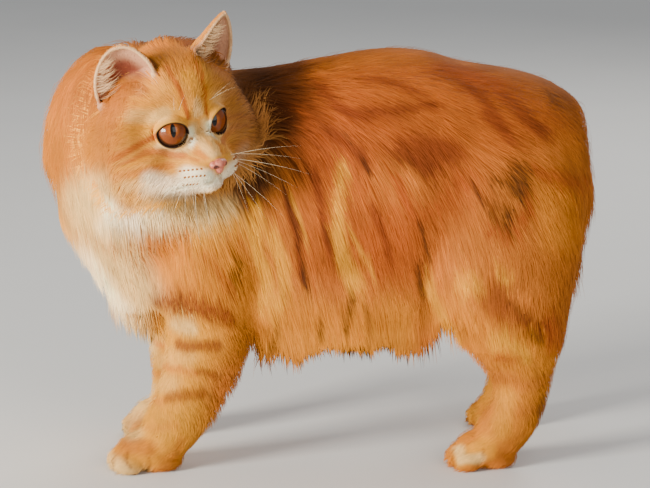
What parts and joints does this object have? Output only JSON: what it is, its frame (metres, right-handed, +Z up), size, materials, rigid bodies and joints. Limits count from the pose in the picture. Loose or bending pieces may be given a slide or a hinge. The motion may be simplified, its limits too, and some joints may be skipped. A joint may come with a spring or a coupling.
{
  "type": "manx cat",
  "caption": "Standing long-coated orange tabby cat with no tail, its head turned back over its left shoulder; a still, life-size model on its own paws.",
  "frame": {"origin": "on the floor plane, under the centre of the model's box", "axes": "+Z up from the floor; the body faces -X and its left side is towards -Y"},
  "size_m": [0.395, 0.1986, 0.3328],
  "materials": {
    "coat_face": "short soft fur",
    "coat_neck": "long soft fur",
    "coat_body": "long soft fur",
    "coat_leg": "short soft fur",
    "coat_paw": "short soft fur",
    "ear": "thin downy skin",
    "eye": "wet, clear and glossy",
    "nose_leather": "fine-grained, slightly moist"
  },
  "bodies": {
    "root": {"head": "coat_face", "nose": "nose_leather", "eye_left": "eye", "eye_right": "eye", "ear_left": "ear", "ear_right": "ear", "neck": "coat_neck", "torso": "coat_body", "foreleg_left": "coat_leg", "foreleg_right": "coat_leg", "forepaw_left": "coat_paw", "forepaw_right": "coat_paw", "thigh_left": "coat_body", "thigh_right": "coat_body", "shank_left": "coat_leg", "shank_right": "coat_leg", "hindpaw_left": "coat_paw", "hindpaw_right": "coat_paw"}
  },
  "joints": []
}
